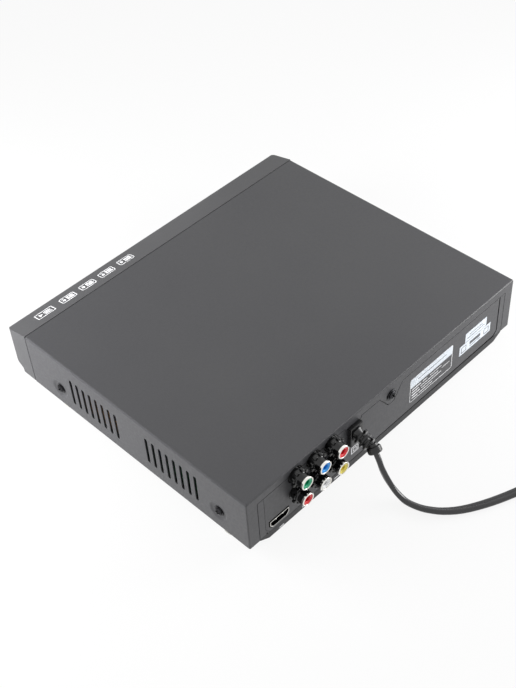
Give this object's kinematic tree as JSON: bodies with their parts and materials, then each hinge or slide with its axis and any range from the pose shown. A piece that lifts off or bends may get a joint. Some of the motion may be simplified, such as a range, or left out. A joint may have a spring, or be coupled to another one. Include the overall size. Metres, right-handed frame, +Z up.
{
  "type": "disc player",
  "caption": "Compact disc player with a folded steel cover, a motor-driven tray in a moulded front, round jacks, a digital picture socket and a flat mains cord at the back",
  "frame": {"origin": "Centre of the underside of the feet: the middle of the player's width and depth without the cord, buttons and jacks included, on the surface it stands on", "axes": "X to the right seen from the front, Y from the front to the back, Z up"},
  "size_m": [0.2658, 0.3594, 0.0443],
  "materials": {
    "painted_steel": "Dark grey baked paint with a fine orange peel",
    "plated_steel": "Zinc-plated sheet and screws",
    "black_screw": "Black oxide",
    "front_plastic": "Fine moulded grain",
    "button_plastic": "Smooth satin moulding",
    "dark_window": "Clear smoked window",
    "foot_rubber": "Pale soft moulding",
    "board": "Glass-fibre board with solder mask",
    "paper_board": "Paper laminate board",
    "black_part": "Moulded component cases",
    "led_face": "Lamp face of the display",
    "tin_shell": "Bright tin and nickel plate",
    "white_plastic": "Natural nylon and acetal",
    "black_plastic": "Moulded frame plastic",
    "motor_steel": "Plated motor cans",
    "belt_rubber": "Square-section belt",
    "cast_pickup": "Die-cast pickup base",
    "lens_plastic": "Coated moulded lens",
    "capacitor_sleeve": "Shrink sleeves",
    "jack_plastic": "Glossy black moulding",
    "green_plastic": "Coloured moulding",
    "blue_plastic": "Coloured moulding",
    "red_plastic": "Coloured moulding",
    "yellow_plastic": "Coloured moulding",
    "core_tape": "Ferrite core under yellow tape",
    "lead_sleeve": "Vinyl lead sleeves",
    "cord_rubber": "Black vinyl cord and mouldings",
    "blade_brass": "Plated brass blades"
  },
  "bodies": {
    "casing": {"top_cover": "painted_steel", "chassis_pan": "painted_steel", "rear_panel": "painted_steel", "front_panel": "front_plastic", "display_window": "dark_window", "feet": "foot_rubber", "cover_screws": "black_screw", "inner_screws": "plated_steel", "front_board": "board", "front_board_parts": "black_part", "led_display": "led_face", "usb_socket": "tin_shell", "usb_tongue": "white_plastic", "loader_frame": "black_plastic", "tray_motor": "motor_steel", "drive_belt": "belt_rubber", "clamper_bridge": "plated_steel", "loader_board": "board", "main_board": "board", "main_chips": "black_part", "main_capacitors": "capacitor_sleeve", "jack_block": "jack_plastic", "jack_shells": "tin_shell", "insert_green": "green_plastic", "insert_blue": "blue_plastic", "insert_red": "red_plastic", "insert_white": "white_plastic", "insert_yellow": "yellow_plastic", "hdmi_socket": "tin_shell", "hdmi_tongue": "black_part", "power_board": "paper_board", "transformer": "core_tape", "power_parts": "black_part", "ribbon_cables": "white_plastic", "mains_leads": "lead_sleeve", "strain_relief": "cord_rubber", "mains_cord": "cord_rubber", "cord_coil": "cord_rubber", "mains_plug": "cord_rubber", "plug_blades": "blade_brass"},
    "tray": {"disc_tray": "black_plastic", "tray_door": "front_plastic"},
    "drive_wheel": {"drive_gear": "white_plastic"},
    "pulley_wheel": {"pulley_gear": "white_plastic"},
    "motor_wheel": {"motor_pulley": "white_plastic"},
    "cam": {"cam_slider": "white_plastic"},
    "deck": {"traverse_deck": "plated_steel", "spindle_motor": "motor_steel", "sled_motor": "motor_steel", "guide_rods": "plated_steel"},
    "disc_table": {"turntable": "black_plastic"},
    "puck": {"clamper_puck": "white_plastic"},
    "sled": {"pickup_body": "cast_pickup"},
    "lens": {"objective_lens": "lens_plastic"},
    "sled_wheel": {"sled_gear": "white_plastic"},
    "sled_motor_wheel": {"sled_pinion": "white_plastic"},
    "power_key": {"power_button": "button_plastic"},
    "open_key": {"open_button": "button_plastic"},
    "play_key": {"play_button": "button_plastic"},
    "stop_key": {"stop_button": "button_plastic"}
  },
  "joints": [
    {"name": "tray_slide", "type": "slide", "parent": "casing", "child": "tray", "axis": [0, -1, 0], "range_m": [0, 0.134]},
    {"name": "drive_gear_spin", "type": "hinge", "parent": "casing", "child": "drive_wheel", "pos_m": [0.01035, -0.0819, 0.0212], "axis": [0, 0, 1], "range_deg": [-775, 5]},
    {"name": "pulley_gear_spin", "type": "hinge", "parent": "casing", "child": "pulley_wheel", "pos_m": [-0.01045, -0.0819, 0.0212], "axis": [0, 0, 1], "range_deg": [-5, 2570]},
    {"name": "motor_pulley_spin", "type": "hinge", "parent": "casing", "child": "motor_wheel", "pos_m": [-0.04445, -0.0744, 0.0212], "axis": [0, 0, 1], "range_deg": [-10, 7190]},
    {"name": "deck_tilt", "type": "hinge", "parent": "casing", "child": "deck", "pos_m": [-0.03665, 0.0521, 0.0192], "axis": [1, 0, 0], "range_deg": [0, 4.2]},
    {"name": "cam_slide", "type": "slide", "parent": "casing", "child": "cam", "axis": [1, 0, 0], "range_m": [0, 0.0201]},
    {"name": "turntable_spin", "type": "hinge", "parent": "deck", "child": "disc_table", "pos_m": [-0.03665, -0.0305, 0.0272], "axis": [0, 0, 1], "continuous": true},
    {"name": "clamper_spin", "type": "hinge", "parent": "casing", "child": "puck", "pos_m": [-0.03665, -0.0305, 0.0332], "axis": [0, 0, 1], "continuous": true},
    {"name": "sled_slide", "type": "slide", "parent": "deck", "child": "sled", "axis": [0, 1, 0], "range_m": [0, 0.034]},
    {"name": "sled_gear_spin", "type": "hinge", "parent": "deck", "child": "sled_wheel", "pos_m": [0.00115, 0.017, 0.0237], "axis": [0, 0, 1], "range_deg": [-470, 5]},
    {"name": "sled_motor_spin", "type": "hinge", "parent": "deck", "child": "sled_motor_wheel", "pos_m": [0.00115, 0.029, 0.0232], "axis": [0, 0, 1], "range_deg": [-5, 1090]},
    {"name": "lens_focus", "type": "slide", "parent": "sled", "child": "lens", "axis": [0, 0, 1], "range_m": [-0.0004, 0.0004], "stiffness_N_per_m": 20},
    {"name": "power_press", "type": "slide", "parent": "casing", "child": "power_key", "axis": [0, 1, 0], "range_m": [0, 0.0005], "stiffness_N_per_m": 800},
    {"name": "open_press", "type": "slide", "parent": "casing", "child": "open_key", "axis": [0, 1, 0], "range_m": [0, 0.0005], "stiffness_N_per_m": 800},
    {"name": "play_press", "type": "slide", "parent": "casing", "child": "play_key", "axis": [0, 1, 0], "range_m": [0, 0.0005], "stiffness_N_per_m": 800},
    {"name": "stop_press", "type": "slide", "parent": "casing", "child": "stop_key", "axis": [0, 1, 0], "range_m": [0, 0.0005], "stiffness_N_per_m": 800}
  ],
  "couplings": [
    {"joint": "drive_gear_spin", "follows": "tray_slide", "rad_per_m": -100},
    {"joint": "pulley_gear_spin", "follows": "tray_slide", "rad_per_m": 333.33},
    {"joint": "motor_pulley_spin", "follows": "tray_slide", "rad_per_m": 933.33},
    {"joint": "cam_slide", "follows": "deck_tilt", "m_per_rad": 0.27284},
    {"joint": "clamper_spin", "follows": "turntable_spin", "ratio": 1},
    {"joint": "sled_gear_spin", "follows": "sled_slide", "rad_per_m": -238.1},
    {"joint": "sled_motor_spin", "follows": "sled_slide", "rad_per_m": 555.56}
  ]
}
